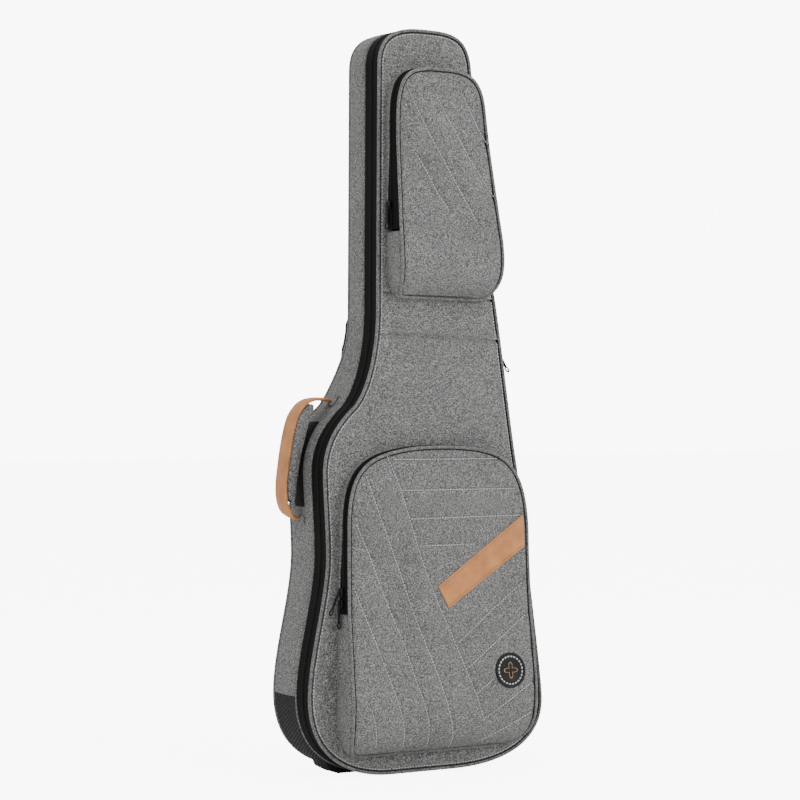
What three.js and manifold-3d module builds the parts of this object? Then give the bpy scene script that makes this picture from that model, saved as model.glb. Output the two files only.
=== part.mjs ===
// Padded gig bag for an electric guitar: a soft shell with a front lid on a zip, two zipped
// pockets on the lid, a side handle and two shoulder straps. Millimetres, +Z up, front towards -Y.
// The design coordinates put y = 0 on the front piping plane; the finished group is shifted so that
// the origin lies in the middle of the base skid's sole.
import * as THREE from "three";
import { mergeVertices } from "three/addons/utils/BufferGeometryUtils.js";
import Module from "manifold-3d";

const wasm = await Module();
wasm.setup();

// ---------------------------------------------------------------- driving dimensions
const GAP = 0.3; // between touching pieces
const CURVE_STEPS = 7; // straight steps in each rounded stretch of an outline
const FAR = 1300; // longer than the bag, for cutting blocks

const NECK_DEPTH = 84;
const BODY_DEPTH = 106;
const SLOPE_TOP_Z = 620; // the back slopes from the neck's depth to the body's
const SLOPE_BOTTOM_Z = 520;

const PIPING = 6; // width and depth of the piping round the bag's edges
const PANEL_THICK = 14; // padding of the front panel
const BACK_THICK = 16;
const WALL = 14; // padding of the side gusset
const LINING = 1.5;
const ZIP_MID_Y = 20; // the plane of the main zip's teeth
const ZIP_BACK_Y = 34;
const ZIP_RECESS = 1; // the zip tape lies this far inside the outline
const WAIST_Z = 673; // the front tape's neck and body lengths meet here
const GUARD_TOP_Z = 113; // the dimpled guard covers the gusset below this
const GUARD_THICK = 2.5;
const STRIP_X = [-70, 50]; // the hinge strip at the bottom, where the zip leaves off

const SKID_Y = [46, 88];
const SKID_THICK = 6;
const SKID_CENTRE_Y = (SKID_Y[0] + SKID_Y[1]) / 2;
const SKID_SOLE = [[-142, 22], [-136, 8], [-120, 0], [116, 0], [132, 8], [140, 22]]; // (x, z)

const REST_Z = 790; // the neck rest's lower end
const REST_HIGH = 70;
const BUMPER_X = [-110, 100];
const BUMPER_TOP_Z = 42;

const POCKET_WALL = 5;
const POCKET_PANEL = 6;
const POCKET_BACK_Y = 0.5; // the pockets' side walls start just in front of the front panel
const POCKET_ZIP_Y = -13; // the plane of the pocket zips' teeth
const LOWER_FOLD_Z = 229; // the flaps fold forward along these heights
const UPPER_FOLD_Z = 757;

const STRIPE_THICK = 2;
const PATCH_RADIUS = 25;
const PATCH_THICK = 2.5;
const PATCH_X = 108;
const PATCH_Z = 140;

const HANDLE_Y = [50, 82];
const HANDLE_THICK = 4;
const BACKING_THICK = 2;
const BACKING_Z = [374, 492];
const TAB_THICK = 3;
const TAB_WIDTH = 16;
const TAB_UPPER_Z = [515, 528];
const TAB_LOWER_Z = [349, 361];

const STRAP_WIDTH = 62;
const STRAP_THICK = 12;
const STRAP_TOP = new THREE.Vector3(38, 112, 640); // x is mirrored for the left strap
const STRAP_SPLAY = THREE.MathUtils.degToRad(8.7);
const PAD_LONG = 350;
const WEBBING_WIDTH = 30;
const WEBBING_THICK = 2;
const ADJUSTER_HALF = 16; // half its height
const HOOK_DROP = 552; // from the strap's top to the middle of the D-ring's bow, along the strap
const HOOK_WIDTH = 10;
const RING_DIAMETER = 34;
const RING_WIRE = 4;
const YOKE_THICK = 8;

const SLIDER_LONG = 12;
const SLIDER_WIDE = 9;
const SLIDER_THICK = 4;
const SLIDER_CLEAR = 0.5; // from the slider to the zip's line
const PULL_LONG = 34;
const PULL_WIDE = 5;
const PULL_THICK = 1.6;
const PULL_RING = 5; // outer radius
const PULL_PROPPED = THREE.MathUtils.degToRad(24); // an upper pull lies over the slider below it
const RIGHT_EDGE_LEAN = -0.134; // radians, where the main zip's sliders are

// ---------------------------------------------------------------- materials
const COLOURS = {
  melange: [0x7b7e7e, 0.95, 0],
  black_zip: [0x1b1b1b, 0.7, 0],
  mesh_guard: [0x191919, 0.8, 0],
  leather: [0xc89468, 0.65, 0],
  black_web: [0x202022, 0.85, 0],
  lining: [0x3a3c3f, 0.9, 0],
  rubber: [0x151515, 0.75, 0],
  hardware: [0x1c1c1e, 0.35, 0.6],
  strap_cloth: [0x2b2d30, 0.9, 0],
};

function material(slot) {
  const [color, roughness, metalness] = COLOURS[slot];
  return new THREE.MeshStandardMaterial({ color, roughness, metalness });
}

const part = new THREE.Group();

function addMesh(name, made, slot, parent = part) {
  const mesh = new THREE.Mesh(made instanceof wasm.Manifold ? geometryOf(made) : made, material(slot));
  mesh.name = name;
  parent.add(mesh);
  return mesh;
}

// ---------------------------------------------------------------- solids
function solidOf(geometry) {
  const bare = geometry.clone();
  bare.deleteAttribute("normal");
  bare.deleteAttribute("uv");
  const merged = mergeVertices(bare, 1e-3);
  return new wasm.Manifold(
    new wasm.Mesh({
      numProp: 3,
      vertProperties: merged.attributes.position.array,
      triVerts: new Uint32Array(merged.index.array),
    }),
  );
}

function geometryOf(solid) {
  const { vertProperties, triVerts, numProp } = solid.getMesh();
  const positions = new Float32Array((vertProperties.length / numProp) * 3);
  for (let i = 0; i < positions.length; i += 3) {
    const from = (i / 3) * numProp;
    positions.set(vertProperties.subarray(from, from + 3), i);
  }
  const geometry = new THREE.BufferGeometry();
  geometry.setAttribute("position", new THREE.BufferAttribute(positions, 3));
  geometry.setIndex(new THREE.BufferAttribute(new Uint32Array(triVerts), 1));
  geometry.computeVertexNormals();
  return geometry;
}

function extruded(points, depth, basis) {
  const shape = new THREE.Shape(points);
  const geometry = new THREE.ExtrudeGeometry(shape, { depth, bevelEnabled: false });
  return solidOf(geometry.applyMatrix4(basis));
}

// An outline in (x, z), filled between two depths.
function alongY(points, y0, y1) {
  const basis = new THREE.Matrix4().makeBasis(
    new THREE.Vector3(1, 0, 0),
    new THREE.Vector3(0, 0, 1),
    new THREE.Vector3(0, -1, 0),
  );
  return extruded(points, y1 - y0, basis.setPosition(0, y1, 0));
}

// A side profile in (y, z), filled between two x values.
function alongX(points, x0, x1) {
  const basis = new THREE.Matrix4().makeBasis(
    new THREE.Vector3(0, 1, 0),
    new THREE.Vector3(0, 0, 1),
    new THREE.Vector3(1, 0, 0),
  );
  return extruded(points, x1 - x0, basis.setPosition(x0, 0, 0));
}

function block(low, high) {
  const size = high.map((value, i) => value - low[i]);
  const centre = high.map((value, i) => (value + low[i]) / 2);
  return solidOf(new THREE.BoxGeometry(...size).translate(...centre));
}

const above = (z) => block([-FAR, -FAR, z], [FAR, FAR, FAR]);
const below = (z) => block([-FAR, -FAR, -FAR], [FAR, FAR, z]);

// ---------------------------------------------------------------- outlines
const V = (x, y) => new THREE.Vector2(x, y);

// A closed outline from corners: two numbers are a straight run's end, six a cubic curve's.
function outline(start, ...runs) {
  const points = [V(...start)];
  for (const run of runs) {
    const from = points.at(-1);
    if (run.length === 2) {
      points.push(V(...run));
      continue;
    }
    const [x1, z1, x2, z2, x3, z3] = run;
    const curve = new THREE.CubicBezierCurve(from, V(x1, z1), V(x2, z2), V(x3, z3));
    points.push(...curve.getPoints(CURVE_STEPS).slice(1));
  }
  if (points.at(-1).distanceTo(points[0]) < 1e-6) points.pop();
  return points;
}

// The outline moved inwards by a distance, each corner along its mitre. Outlines run anticlockwise.
function inset(points, distance) {
  const count = points.length;
  return points.map((point, i) => {
    const before = points[(i + count - 1) % count];
    const after = points[(i + 1) % count];
    const along1 = point.clone().sub(before).normalize();
    const along2 = after.clone().sub(point).normalize();
    const inward1 = V(-along1.y, along1.x);
    const inward2 = V(-along2.y, along2.x);
    const mitre = inward1.clone().add(inward2).normalize();
    return point.clone().addScaledVector(mitre, distance / mitre.dot(inward1));
  });
}

const ring = (points, outer, inner, y0, y1) =>
  alongY(inset(points, outer), y0, y1).subtract(alongY(inset(points, inner), y0 - 1, y1 + 1));

const BAG = outline(
  [-60, 0],
  [40, 0],
  [130, 0, 193, 28, 193, 90],
  [193, 123, 165, 303, 150, 423],
  [138, 483, 119, 633, 110, 673],
  [71.5, 988],
  [68, 1035, 45, 1043, 0, 1043],
  [-14, 1043],
  [-50, 1043, -83, 1033, -83, 988],
  [-85, 643],
  [-86, 593, -98, 541, -120, 515],
  [-142, 496, -169, 468, -169.5, 423],
  [-169.5, 393, -164.5, 343, -164.5, 308],
  [-164.5, 248, -193, 173, -193, 113],
  [-193, 31, -130, 0, -60, 0],
);

const LOWER_POCKET = outline(
  [-105, 28],
  [105, 28],
  [145, 28, 155, 48, 154, 100],
  [157, 160, 153, 250, 152, 330],
  [150, 405, 130, 445, 70, 454],
  [40, 460, -20, 460, -50, 456],
  [-112, 447, -145, 432, -146, 350],
  [-146, 250, -150, 140, -150, 90],
  [-150, 48, -142, 28, -105, 28],
);

const UPPER_POCKET = outline(
  [-45, 664],
  [75, 662],
  [97, 662, 102, 690, 100, 745],
  [76.5, 925],
  [72, 972, 55, 984, 15, 986],
  [-15, 986],
  [-58, 984, -71, 968, -71, 905],
  [-70, 730],
  [-70, 685, -66, 664, -45, 664],
);

// Front faces of the pockets, seen from the side, as (y, z) from the top down.
const LOWER_FRONT = [
  [-26, 480],
  [-27, 300],
  [-30, LOWER_FOLD_Z],
  [-39, 165],
  [-47, 105],
  [-44, 70],
  [-32, 45],
  [-14, 32],
  [0, 24],
];
const UPPER_FRONT = [
  [-31, 1000],
  [-31, 880],
  [-39, UPPER_FOLD_Z],
  [-43, 715],
  [-40, 692],
  [-27, 674],
  [0, 656],
];

// ---------------------------------------------------------------- shell
const SLOPE_STEPS = 4;

// The back surface, seen from the side, from the bottom up, moved forward by a distance.
function backLine(forward) {
  const points = [V(BODY_DEPTH - forward, -FAR)];
  for (let i = 0; i <= SLOPE_STEPS; i++) {
    const t = i / SLOPE_STEPS;
    const depth = BODY_DEPTH + (NECK_DEPTH - BODY_DEPTH) * (3 * t * t - 2 * t * t * t);
    points.push(V(depth - forward, SLOPE_BOTTOM_Z + (SLOPE_TOP_Z - SLOPE_BOTTOM_Z) * t));
  }
  points.push(V(NECK_DEPTH - forward, FAR));
  return points;
}

// Everything between two surfaces that run parallel to the back.
const backLayer = (frontSide, backSide) =>
  alongX([...backLine(backSide), ...backLine(frontSide).reverse()], -FAR, FAR);

const inFrontOfBack = (y0, forward) =>
  alongX([...backLine(forward), V(y0, FAR), V(y0, -FAR)], -FAR, FAR);

// The skid's bar, grown all round by `swell` so that the same shape can also cut its room.
function skidSolid(swell) {
  const sole = inset(SKID_SOLE.map(([x, z]) => V(x, z)), -swell);
  const core = alongY(inset(BAG, SKID_THICK + swell), 0, BODY_DEPTH);
  return alongY(sole, SKID_Y[0] - swell, SKID_Y[1] + swell).subtract(core);
}

function buildShell() {
  const skid = skidSolid(0);
  const skidRoom = skidSolid(GAP);
  const wallSpan = inFrontOfBack(ZIP_BACK_Y + GAP, PIPING + GAP);
  const wall = ring(BAG, 0, WALL, ZIP_BACK_Y, BODY_DEPTH).intersect(wallSpan);
  const guardSkin = ring(BAG, 0, GUARD_THICK, ZIP_BACK_Y, BODY_DEPTH).intersect(wallSpan);
  const guardRoom = ring(BAG, -1, GUARD_THICK + GAP, 0, BODY_DEPTH).intersect(below(GUARD_TOP_Z + GAP));
  addMesh("side_gusset", wall.subtract(guardRoom).subtract(skidRoom), "melange");
  addMesh("bottom_guard", guardSkin.intersect(below(GUARD_TOP_Z)).subtract(skidRoom), "mesh_guard");
  addMesh("base_skid", skid, "rubber");

  const cushion = alongY(inset(BAG, WALL + GAP), 0, BODY_DEPTH + 1).intersect(backLayer(BACK_THICK, 1));
  const skin = alongY(inset(BAG, PIPING + GAP), 0, BODY_DEPTH + 1).intersect(backLayer(PIPING, 0));
  addMesh("back_panel", cushion.add(skin), "melange");
  addMesh("back_piping", ring(BAG, 0, PIPING, 0, BODY_DEPTH + 1).intersect(backLayer(PIPING, -0.5)), "melange");
  const liningLayer = backLayer(BACK_THICK + GAP + LINING, BACK_THICK + GAP);
  addMesh("back_lining", alongY(inset(BAG, WALL + 1), 0, BODY_DEPTH).intersect(liningLayer), "lining");

  const rearTape = ring(BAG, ZIP_RECESS, PIPING, ZIP_MID_Y + GAP / 2, ZIP_BACK_Y);
  const stripRoom = block([STRIP_X[0], 0, -5], [STRIP_X[1], ZIP_BACK_Y + 5, 20]);
  const strip = block([STRIP_X[0] + GAP, 0, -5], [STRIP_X[1] - GAP, ZIP_BACK_Y + 5, 20]);
  addMesh("main_zip_rear_tape", rearTape.subtract(stripRoom), "black_zip");
  addMesh("hinge_strip", rearTape.intersect(strip), "black_web");
}

function buildPadding() {
  const liningFront = NECK_DEPTH - BACK_THICK - 2 * GAP - LINING;
  const cradle = [
    V(-56, 0), V(46, 0), V(46, -22), V(26, -26), V(18, -13), V(-28, -13), V(-36, -26), V(-56, -22),
  ];
  const neckRest = new THREE.ExtrudeGeometry(new THREE.Shape(cradle), { depth: REST_HIGH, bevelEnabled: false });
  addMesh("neck_rest", solidOf(neckRest.translate(0, liningFront, REST_Z)), "lining");
  const bumperBack = BODY_DEPTH - BACK_THICK - 2 * GAP - LINING;
  const bumperRoom = alongY(inset(BAG, WALL + GAP), 40, bumperBack);
  const bumperSpan = block([BUMPER_X[0], 0, 0], [BUMPER_X[1], BODY_DEPTH, BUMPER_TOP_Z]);
  addMesh("bottom_bumper", bumperRoom.intersect(bumperSpan), "lining");
}

// ---------------------------------------------------------------- lid
function buildLid() {
  addMesh("front_panel", alongY(inset(BAG, PIPING + GAP), 1, 1 + PANEL_THICK), "melange");
  addMesh("front_piping", ring(BAG, 0, PIPING, -1, PIPING), "melange");
  const tape = ring(BAG, ZIP_RECESS, PIPING, PIPING + GAP, ZIP_MID_Y - GAP / 2);
  addMesh("main_zip_front_tape_neck", tape.intersect(above(WAIST_Z + GAP / 2)), "black_zip");
  addMesh("main_zip_front_tape_body", tape.intersect(below(WAIST_Z - GAP / 2)), "black_zip");
  const liningY = 1 + PANEL_THICK + GAP;
  addMesh("lid_lining", alongY(inset(BAG, PIPING + 2), liningY, liningY + LINING), "lining");
}

// Everything between a pocket's front face moved back by `near` and by `far`, or by `far` alone
// everything from there to the front panel.
function pocketLayer(front, near, far) {
  const face = front.map(([y, z]) => V(y + near, z));
  const rear = far === undefined
    ? [V(FAR, front.at(-1)[1]), V(FAR, front[0][1])]
    : front.map(([y, z]) => V(y + far, z)).reverse();
  return alongX([...face, ...rear].reverse(), -FAR, FAR);
}

function buildPocket(prefix, shape, front, foldZ) {
  const wallLayer = pocketLayer(front, PIPING);
  const bagPipingRoom = ring(BAG, -PIPING, PIPING + GAP, -1 - GAP, PIPING);
  const wall = ring(shape, 0, POCKET_WALL, -60, POCKET_BACK_Y).intersect(wallLayer).subtract(bagPipingRoom);
  const rimLayer = pocketLayer(front, 0, PIPING - GAP);
  const rim = ring(shape, 0, POCKET_WALL, -60, -1).intersect(rimLayer);
  const panelLayer = pocketLayer(front, 0, POCKET_PANEL);
  const panel = alongY(inset(shape, POCKET_WALL + GAP), -60, -1).intersect(panelLayer);
  const lower = below(foldZ - GAP);
  const upper = above(foldZ + GAP);
  const behindZip = block([-FAR, POCKET_ZIP_Y + GAP / 2, 0], [FAR, 10, FAR]);
  const beforeZip = block([-FAR, -FAR, 0], [FAR, POCKET_ZIP_Y - GAP / 2, FAR]);
  addMesh(prefix + "_gusset", wall.intersect(lower), "melange");
  addMesh(prefix + "_zip_inner_tape", wall.intersect(above(foldZ)).intersect(behindZip), "black_zip");
  addMesh(prefix + "_zip_outer_tape", wall.intersect(upper).intersect(beforeZip), "black_zip");
  addMesh(prefix + "_piping", rim.intersect(lower), "melange");
  addMesh(prefix + "_flap_piping", rim.intersect(upper), "melange");
  addMesh(prefix + "_panel", panel.intersect(lower), "melange");
  addMesh(prefix + "_flap", panel.intersect(upper), "melange");
}

function buildBadges() {
  const stripe = [V(-4, 262), V(13, LOWER_FOLD_Z + 2), V(142, 313), V(140, 359)];
  const onFlap = pocketLayer(LOWER_FRONT, -STRIPE_THICK - GAP, -GAP);
  addMesh("leather_stripe", alongY(stripe, -60, 0).intersect(onFlap), "leather");

  // The patch leans with the stretch of the pocket's face between these two profile points.
  const [[upperY, upperZ], [lowerY, lowerZ]] = LOWER_FRONT.slice(3, 5);
  const slope = (lowerY - upperY) / (upperZ - lowerZ);
  const faceY = upperY + slope * (upperZ - PATCH_Z);
  const disc = solidOf(new THREE.CylinderGeometry(PATCH_RADIUS, PATCH_RADIUS, PATCH_THICK, 32));
  const patch = addMesh("round_patch", disc, "rubber");
  patch.rotation.x = Math.atan(slope);
  patch.position.set(PATCH_X, faceY - GAP - PATCH_THICK / 2, PATCH_Z);
}

// ---------------------------------------------------------------- handle
// The strap bows out between its two ends on the gusset; `outer` is its outer side.
function buildHandle() {
  const outer = outline(
    [-126, 522],
    [-160, 526, -168, 524, -184, 500],
    [-192, 482, -198, 445, -202, 410],
    [-204, 375, -197, 362, -175, 355],
  );
  const along = (distance) => {
    const offset = inset([...outer, V(-80, 355), V(-80, 522)], distance);
    return offset.slice(0, outer.length);
  };
  const [y0, y1] = HANDLE_Y;
  addMesh("handle_band", alongY([...outer, ...along(HANDLE_THICK).reverse()], y0, y1), "leather");
  const chord = [V(-184, 378), V(-182, 405), V(-176, 440), V(-168, 470), V(-162, 492), V(-153, 514)];
  const grip = [...along(HANDLE_THICK + GAP).slice(3, -5), ...chord];
  addMesh("handle_grip", alongY(grip, y0 + 1, y1 - 1), "melange");

  const strip = ring(BAG, -BACKING_THICK - GAP, -GAP, y0 + 8, y1);
  const backingSpan = block([-FAR, y0, BACKING_Z[0]], [0, y1, BACKING_Z[1]]);
  addMesh("handle_backing", strip.intersect(backingSpan), "black_web");
  const tabY = (y0 + y1 - TAB_WIDTH) / 2;
  const tabRing = ring(BAG, -TAB_THICK - GAP, -GAP, tabY, tabY + TAB_WIDTH);
  for (const [name, [low, high]] of Object.entries({ upper: TAB_UPPER_Z, lower: TAB_LOWER_Z })) {
    addMesh(`handle_tab_${name}`, tabRing.intersect(block([-FAR, y0, low], [0, y1, high])), "melange");
  }
}

// ---------------------------------------------------------------- straps
// One D-ring, its round side up; its straight bar's upper edge is at z = 1.
function dRing() {
  const bow = (radius) => new THREE.Shape().absarc(0, 0, radius, 0, Math.PI, false).getPoints(12);
  const radius = RING_DIAMETER / 2;
  const bar = block([-radius, -RING_WIRE, -RING_WIRE], [radius, 0, 1]);
  const opening = alongY(bow(radius - RING_WIRE), -RING_WIRE - 1, 1);
  return alongY(bow(radius), -RING_WIRE, 0).subtract(opening).add(bar);
}

function strapGroup(side) {
  const group = new THREE.Group();
  group.position.set(side * STRAP_TOP.x, STRAP_TOP.y, STRAP_TOP.z);
  group.rotation.y = -side * STRAP_SPLAY;
  part.add(group);
  return group;
}

// The strap hangs down its group's -Z from the yoke; local y = 0 is the strap's inner face.
function buildStrap(name, side) {
  const group = strapGroup(side);
  const end = -PAD_LONG;
  const inner = outline([-16, 12], [-2, 10, 0, -20, 0, -60], [0, end + 16], [0, end, 2, end, 6, end]);
  const outer = [V(STRAP_THICK, end + 10), V(STRAP_THICK, -60), V(9, -10), V(-2, 12), V(-14, 20)];
  const pad = alongX([...inner, ...outer], -STRAP_WIDTH / 2, STRAP_WIDTH / 2);
  addMesh(`strap_${name}_pad`, pad, "strap_cloth", group);

  const half = WEBBING_WIDTH / 2;
  const [webY0, webY1] = [3, 3 + WEBBING_THICK];
  const web = block([-half, webY0, -HOOK_DROP + 40], [half, webY1, end - GAP]);
  addMesh(`strap_${name}_webbing`, web, "black_web", group);
  const low = end - 60 - ADJUSTER_HALF;
  const high = low + 2 * ADJUSTER_HALF;
  const slot = block([-half - GAP, webY0 - GAP, low - 1], [half + GAP, webY1 + GAP, high + 1]);
  const adjuster = block([-half - 4, webY0 - 2.5, low], [half + 4, webY1 + 2.5, high]).subtract(slot);
  addMesh(`strap_${name}_adjuster`, adjuster, "rubber", group);
  addMesh(`strap_${name}_hook`, hookSolid(), "hardware", group);
  buildAnchor(name, side);
}

// The hook's jaw reaches round the D-ring's bow and is open towards the bag.
function hookSolid() {
  const bow = -HOOK_DROP;
  const jaw = [
    V(-6, bow + 7), V(0, bow + 7), V(1, bow + 39), V(8, bow + 39), V(6, bow + 22), V(6, bow - 11),
    V(-6, bow - 11), V(-6, bow - 7), V(1.5, bow - 7), V(1.5, bow + 2.5), V(-6, bow + 2.5),
  ].reverse();
  return alongX(jaw, -HOOK_WIDTH / 2, HOOK_WIDTH / 2);
}

// The D-ring low on the back, and the webbing loop that holds its straight bar.
function buildAnchor(name, side) {
  const group = strapGroup(side);
  const ringY = -6;
  const barZ = -HOOK_DROP - RING_DIAMETER / 2;
  addMesh(`d_ring_${name}`, dRing().translate([0, ringY + RING_WIRE, barZ]), "hardware", group);
  const tunnelLow = [-20, ringY - GAP, barZ - RING_WIRE - GAP];
  const tunnel = block(tunnelLow, [20, ringY + RING_WIRE + GAP, barZ + 1 + GAP]);
  const low = [-11, BODY_DEPTH + GAP - STRAP_TOP.y, barZ - 34];
  const loop = block(low, [11, 3, barZ + 4]).subtract(tunnel);
  addMesh(`strap_${name}_anchor`, loop, "black_web", group);
}

function buildYoke() {
  const plate = outline(
    [-72, 642],
    [-66, 638],
    [66, 638],
    [72, 642],
    [62, 700],
    [50, 716, 30, 722, 0, 722],
    [-30, 722, -50, 716, -62, 700],
  );
  addMesh("strap_yoke", alongY(plate, NECK_DEPTH + GAP, NECK_DEPTH + YOKE_THICK), "strap_cloth");
}

// ---------------------------------------------------------------- zip sliders and pulls
// A slider on a zip whose tape faces the side `facing` (-1 left, +1 right), with its hanging pull.
// `slant` turns both with the tape; `lift` holds the pull away from the tape.
function buildSlider(name, facing, [x, y, z], slant, lift) {
  const group = new THREE.Group();
  group.position.set(x, y, z);
  group.rotation.y = slant;
  part.add(group);
  const [half, nose] = [SLIDER_WIDE / 2, SLIDER_LONG / 2];
  const taper = half - 1.5;
  const body = [
    V(-half, -nose + 3), V(-taper, -nose), V(taper, -nose), V(half, -nose + 3), V(half, nose), V(-half, nose),
  ];
  const low = Math.min(SLIDER_CLEAR * facing, SLIDER_THICK * facing);
  addMesh(name, alongX(body, low, low + SLIDER_THICK - SLIDER_CLEAR), "hardware", group);

  const ringZ = PULL_RING - PULL_LONG;
  const disc = (radius, thick) =>
    solidOf(new THREE.CylinderGeometry(radius, radius, thick, 14).rotateZ(Math.PI / 2).translate(0, 0, ringZ));
  const barLow = [-PULL_THICK / 2, -PULL_WIDE / 2, ringZ + PULL_RING - 1];
  const bar = block(barLow, [PULL_THICK / 2, PULL_WIDE / 2, 0]);
  const pull = bar.add(disc(PULL_RING, PULL_THICK)).subtract(disc(PULL_RING - 2, 2 * PULL_THICK));
  const mesh = addMesh(name.replace("slider", "pull"), pull, "hardware", group);
  mesh.position.x = facing * (SLIDER_THICK + GAP + PULL_THICK / 2 + PULL_THICK * Math.sin(lift));
  mesh.rotation.y = -facing * lift;
}

function buildSliders() {
  buildSlider("main_zip_slider_upper", 1, [124, ZIP_MID_Y, 590], RIGHT_EDGE_LEAN, PULL_PROPPED);
  buildSlider("main_zip_slider_lower", 1, [128, ZIP_MID_Y, 567], RIGHT_EDGE_LEAN, 0);
  buildSlider("lower_pocket_slider_upper", -1, [-147.5, POCKET_ZIP_Y, 258], 0, PULL_PROPPED);
  buildSlider("lower_pocket_slider_lower", -1, [-147.5, POCKET_ZIP_Y, 242], 0, 0);
  buildSlider("upper_pocket_slider", -1, [-71.6, POCKET_ZIP_Y, 792], 0, 0);
}

buildShell();
buildPadding();
buildLid();
buildPocket("lower_pocket", LOWER_POCKET, LOWER_FRONT, LOWER_FOLD_Z);
buildPocket("upper_pocket", UPPER_POCKET, UPPER_FRONT, UPPER_FOLD_Z);
buildBadges();
buildHandle();
buildYoke();
buildStrap("left", -1);
buildStrap("right", 1);
buildSliders();
part.position.y = -SKID_CENTRE_Y;

export default part;
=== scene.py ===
# Looks for the padded gig bag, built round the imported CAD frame. Lengths below are in millimetres in
# the bag's design coordinates: x to the right, y backwards from the front piping, z up from the floor.
# They become metres in the frame's coordinates when a mesh is made.
import math
from collections import namedtuple

import bmesh
import bpy
import numpy as np
from mathutils import Matrix, Vector, noise


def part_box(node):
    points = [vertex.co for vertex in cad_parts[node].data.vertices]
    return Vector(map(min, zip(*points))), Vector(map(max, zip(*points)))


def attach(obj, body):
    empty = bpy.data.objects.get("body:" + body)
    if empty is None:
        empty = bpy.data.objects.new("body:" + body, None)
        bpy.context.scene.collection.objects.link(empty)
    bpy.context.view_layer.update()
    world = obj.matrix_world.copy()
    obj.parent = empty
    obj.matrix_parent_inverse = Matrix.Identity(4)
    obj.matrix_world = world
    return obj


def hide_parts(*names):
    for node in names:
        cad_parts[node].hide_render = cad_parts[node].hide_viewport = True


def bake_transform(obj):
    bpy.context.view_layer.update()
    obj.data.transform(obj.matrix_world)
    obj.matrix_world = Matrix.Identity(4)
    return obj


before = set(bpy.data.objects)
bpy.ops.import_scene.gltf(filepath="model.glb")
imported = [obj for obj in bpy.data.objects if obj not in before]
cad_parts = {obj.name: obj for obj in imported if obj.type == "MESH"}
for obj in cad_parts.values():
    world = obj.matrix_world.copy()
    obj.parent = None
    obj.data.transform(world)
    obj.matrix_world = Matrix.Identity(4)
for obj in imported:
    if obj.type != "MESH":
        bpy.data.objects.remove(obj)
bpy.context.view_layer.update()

MM = 0.001
PIPING_PROUD = 1.0  # the CAD front piping stands this far before the piping plane
YOKE_GAP = 0.3  # the neck's back stops this far before the strap yoke
BACK_PIPING_PROUD = 0.5  # the CAD back piping reaches this far past the back
FRONT_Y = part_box("front_piping")[0].y / MM + PIPING_PROUD  # the frame's y at the piping plane
NECK_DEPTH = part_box("strap_yoke")[0].y / MM - FRONT_Y - YOKE_GAP
BODY_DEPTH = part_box("back_piping")[1].y / MM - FRONT_Y - BACK_PIPING_PROUD
SLOPE_Z = (520.0, 620.0)  # the back slopes from the body's depth to the neck's
ZIP_MID_Y = 20.0
ZIP_BACK_Y = 38.0
GUARD_TOP_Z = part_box("bottom_guard")[1].z / MM
PIPING_R = 2.4
INSIDE = 60.0  # this far from a panel's edge, the edge is no longer felt
POCKET_ZIP_Y = -13.0
LOWER_FOLD_Z = 229.0
UPPER_FOLD_Z = 757.0
CLOTH_FRAMES = 20


# ------------------------------------------------------------------ outlines
def bezier(p0, p1, p2, p3, steps=48):
    t = np.linspace(0, 1, steps + 1)[1:, None]
    p0, p1, p2, p3 = map(np.array, (p0, p1, p2, p3))
    return (1 - t) ** 3 * p0 + 3 * (1 - t) ** 2 * t * p1 + 3 * (1 - t) * t * t * p2 + t**3 * p3


def outline(start, *runs):
    """A closed (x, z) outline: two numbers are a straight run's end, six a cubic curve's."""
    points = [np.array([start], float)]
    for run in runs:
        from_point = points[-1][-1]
        if len(run) == 2:
            points.append(np.array([run], float))
        else:
            points.append(bezier(from_point, run[0:2], run[2:4], run[4:6]))
    joined = np.vstack(points)
    if np.linalg.norm(joined[0] - joined[-1]) > 1e-6:
        joined = np.vstack([joined, joined[:1]])
    return joined


BAG = outline(
    (-60, 0), (40, 0),
    (130, 0, 193, 28, 193, 90),
    (193, 123, 165, 303, 150, 423),
    (138, 483, 119, 633, 110, 673),
    (71.5, 988),
    (68, 1035, 45, 1043, 0, 1043),
    (-14, 1043),
    (-50, 1043, -83, 1033, -83, 988),
    (-85, 643),
    (-86, 593, -98, 541, -120, 515),
    (-142, 496, -169, 468, -169.5, 423),
    (-169.5, 393, -164.5, 343, -164.5, 308),
    (-164.5, 248, -193, 173, -193, 113),
    (-193, 31, -130, 0, -60, 0),
)
LOWER_POCKET = outline(
    (-105, 28), (105, 28),
    (145, 28, 155, 48, 154, 100),
    (157, 160, 153, 250, 152, 330),
    (150, 405, 130, 445, 70, 454),
    (40, 460, -20, 460, -50, 456),
    (-112, 447, -145, 432, -146, 350),
    (-146, 250, -150, 140, -150, 90),
    (-150, 48, -142, 28, -105, 28),
)
UPPER_POCKET = outline(
    (-45, 664), (75, 662),
    (97, 662, 102, 690, 100, 745),
    (76.5, 925),
    (72, 972, 55, 984, 15, 986),
    (-15, 986),
    (-58, 984, -71, 968, -71, 905),
    (-70, 730),
    (-70, 685, -66, 664, -45, 664),
)
# The pockets' front faces seen from the side, as heights and depths.
LOWER_FACE = ((24, 32, 45, 70, 105, 165, 229, 300, 480), (0, -14, -32, -44, -47, -39, -30, -27, -26))
UPPER_FACE = ((656, 674, 692, 715, 757, 880, 1000), (0, -27, -40, -43, -39, -31, -31))


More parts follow.
